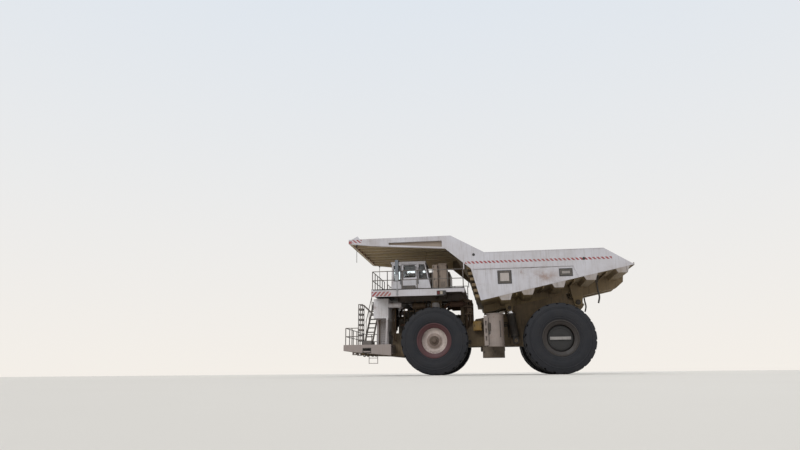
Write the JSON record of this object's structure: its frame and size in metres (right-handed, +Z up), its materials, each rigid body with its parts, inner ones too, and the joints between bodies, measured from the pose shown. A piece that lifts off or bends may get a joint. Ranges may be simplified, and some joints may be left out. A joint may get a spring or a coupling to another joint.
{
  "type": "rigid-frame mining dump truck",
  "caption": "Two-axle rigid mining haul truck with a tipping body, canopy over the cab, twin rear wheels, steered front wheels and an opening cab door.",
  "frame": {"origin": "on the ground at the bottom centre of the bounding box", "axes": "+X forward, +Y to the truck's left, +Z up"},
  "size_m": [15.38, 7, 7.51],
  "materials": {
    "white_paint": "worn white enamel",
    "frame_paint": "dusty tan enamel",
    "engine_paint": "oily dark enamel",
    "dark_steel": "greasy cast steel",
    "chrome_rod": "ground and polished",
    "red_rim": "faded red enamel",
    "brown_rim": "dirt-stained enamel",
    "tyre": "matt",
    "glass": "clear",
    "grey_cabinet": "grey enamel",
    "seat_cloth": "coarse woven",
    "trim": "textured",
    "lamp": "clear lens over a reflector",
    "mirror": "blue-grey enamel"
  },
  "bodies": {
    "chassis": {"main_frame": "frame_paint", "front_bumper": "white_paint", "handrails": "dark_steel", "engine": "engine_paint", "radiator": "white_paint", "grille": "dark_steel", "air_cleaners": "white_paint", "struts": "white_paint", "rear_axle": "dark_steel", "deck": "white_paint", "cab_shell": "white_paint", "cab_glass": "glass", "cab_interior": "trim", "mirrors": "mirror", "equipment_boxes": "grey_cabinet", "resistor_grid": "grey_cabinet", "front_stair": "dark_steel", "side_tanks": "white_paint", "lamps": "lamp", "driver_seat": "seat_cloth"},
    "knuckle_left": {"knuckle_left": "dark_steel"},
    "knuckle_right": {"knuckle_right": "dark_steel"},
    "front_wheel_left": {"front_rim_left": "red_rim", "front_tyre_left": "tyre"},
    "front_wheel_right": {"front_rim_right": "red_rim", "front_tyre_right": "tyre"},
    "tie_rod": {"tie_rod": "dark_steel"},
    "steering_barrel_left": {"steering_barrel_left": "dark_steel"},
    "steering_barrel_right": {"steering_barrel_right": "dark_steel"},
    "steering_rod_left": {"steering_rod_left": "chrome_rod"},
    "steering_rod_right": {"steering_rod_right": "chrome_rod"},
    "rear_wheels_left": {"rear_rims_left": "brown_rim", "rear_tyres_left": "tyre"},
    "rear_wheels_right": {"rear_rims_right": "brown_rim", "rear_tyres_right": "tyre"},
    "cab_door": {"cab_door": "white_paint", "door_glass": "glass"},
    "hoist_barrels": {"hoist_barrels": "dark_steel"},
    "hoist_stages_outer": {"hoist_stages_outer": "chrome_rod"},
    "hoist_stages_inner": {"hoist_stages_inner": "chrome_rod"},
    "hoist_rods": {"hoist_rods": "chrome_rod"},
    "dump_body": {"body_floor": "frame_paint", "body_sides": "white_paint", "body_front_wall": "frame_paint", "canopy": "white_paint"}
  },
  "joints": [
    {"name": "steer_left", "type": "hinge", "parent": "chassis", "child": "knuckle_left", "pos_m": [2.73, 1.5, 1.4], "axis": [0, 0, 1], "range_deg": [-30, 30]},
    {"name": "steer_right", "type": "hinge", "parent": "chassis", "child": "knuckle_right", "pos_m": [2.73, -1.5, 1.4], "axis": [0, 0, 1], "range_deg": [-30, 30]},
    {"name": "roll_front_left", "type": "hinge", "parent": "knuckle_left", "child": "front_wheel_left", "pos_m": [2.73, 2.45, 1.79], "axis": [0, 1, 0], "continuous": true},
    {"name": "roll_front_right", "type": "hinge", "parent": "knuckle_right", "child": "front_wheel_right", "pos_m": [2.73, -2.45, 1.79], "axis": [0, 1, 0], "continuous": true},
    {"name": "roll_rear_left", "type": "hinge", "parent": "chassis", "child": "rear_wheels_left", "pos_m": [-3.77, 2.32, 1.79], "axis": [0, 1, 0], "continuous": true},
    {"name": "roll_rear_right", "type": "hinge", "parent": "chassis", "child": "rear_wheels_right", "pos_m": [-3.77, -2.32, 1.79], "axis": [0, 1, 0], "continuous": true},
    {"name": "tie_rod_swing", "type": "hinge", "parent": "knuckle_left", "child": "tie_rod", "pos_m": [2.11, 1.5, 1.25], "axis": [0, 0, 1], "range_deg": [-30, 30]},
    {"name": "steering_swing_left", "type": "hinge", "parent": "chassis", "child": "steering_barrel_left", "pos_m": [3.17, 0.26, 1.44], "axis": [0, 0, 1], "range_deg": [-8, 8]},
    {"name": "steering_swing_right", "type": "hinge", "parent": "chassis", "child": "steering_barrel_right", "pos_m": [3.17, -0.26, 1.44], "axis": [0, 0, 1], "range_deg": [-8, 8]},
    {"name": "steering_slide_left", "type": "slide", "parent": "steering_barrel_left", "child": "steering_rod_left", "axis": [-0.0483, 0.9988, 0], "range_m": [-0.25, 0.25]},
    {"name": "steering_slide_right", "type": "slide", "parent": "steering_barrel_right", "child": "steering_rod_right", "axis": [-0.0483, -0.9988, 0], "range_m": [-0.25, 0.25]},
    {"name": "dump", "type": "hinge", "parent": "chassis", "child": "dump_body", "pos_m": [-5.12, 0, 3.85], "axis": [0, -1, 0], "range_deg": [0, 45]},
    {"name": "hoist_tilt", "type": "hinge", "parent": "chassis", "child": "hoist_barrels", "pos_m": [-1.62, 0, 1.8], "axis": [0, 1, 0], "range_deg": [-25, 1]},
    {"name": "hoist_slide_outer", "type": "slide", "parent": "hoist_barrels", "child": "hoist_stages_outer", "axis": [0.1495, 0, 0.9888], "range_m": [-0.02, 0.95]},
    {"name": "hoist_slide_inner", "type": "slide", "parent": "hoist_stages_outer", "child": "hoist_stages_inner", "axis": [0.1495, 0, 0.9888], "range_m": [-0.02, 0.95]},
    {"name": "hoist_slide_rod", "type": "slide", "parent": "hoist_stages_inner", "child": "hoist_rods", "axis": [0.1495, 0, 0.9888], "range_m": [-0.02, 0.95]},
    {"name": "cab_door_swing", "type": "hinge", "parent": "chassis", "child": "cab_door", "pos_m": [3.674, 2.346, 5.2], "axis": [0, 0, 1], "range_deg": [0, 75]}
  ],
  "couplings": [
    {"joint": "steer_right", "follows": "steer_left", "ratio": 1},
    {"joint": "tie_rod_swing", "follows": "steer_left", "ratio": -1},
    {"joint": "steering_swing_left", "follows": "steer_left", "ratio": -0.02658},
    {"joint": "steering_swing_right", "follows": "steer_left", "ratio": -0.02658},
    {"joint": "steering_slide_left", "follows": "steer_left", "m_per_rad": 0.3614},
    {"joint": "steering_slide_right", "follows": "steer_left", "m_per_rad": -0.3614},
    {"joint": "hoist_tilt", "follows": "dump", "ratio": -0.35691},
    {"joint": "hoist_slide_outer", "follows": "dump", "m_per_rad": 1.1929},
    {"joint": "hoist_slide_inner", "follows": "dump", "m_per_rad": 1.1929},
    {"joint": "hoist_slide_rod", "follows": "dump", "m_per_rad": 1.1929}
  ]
}
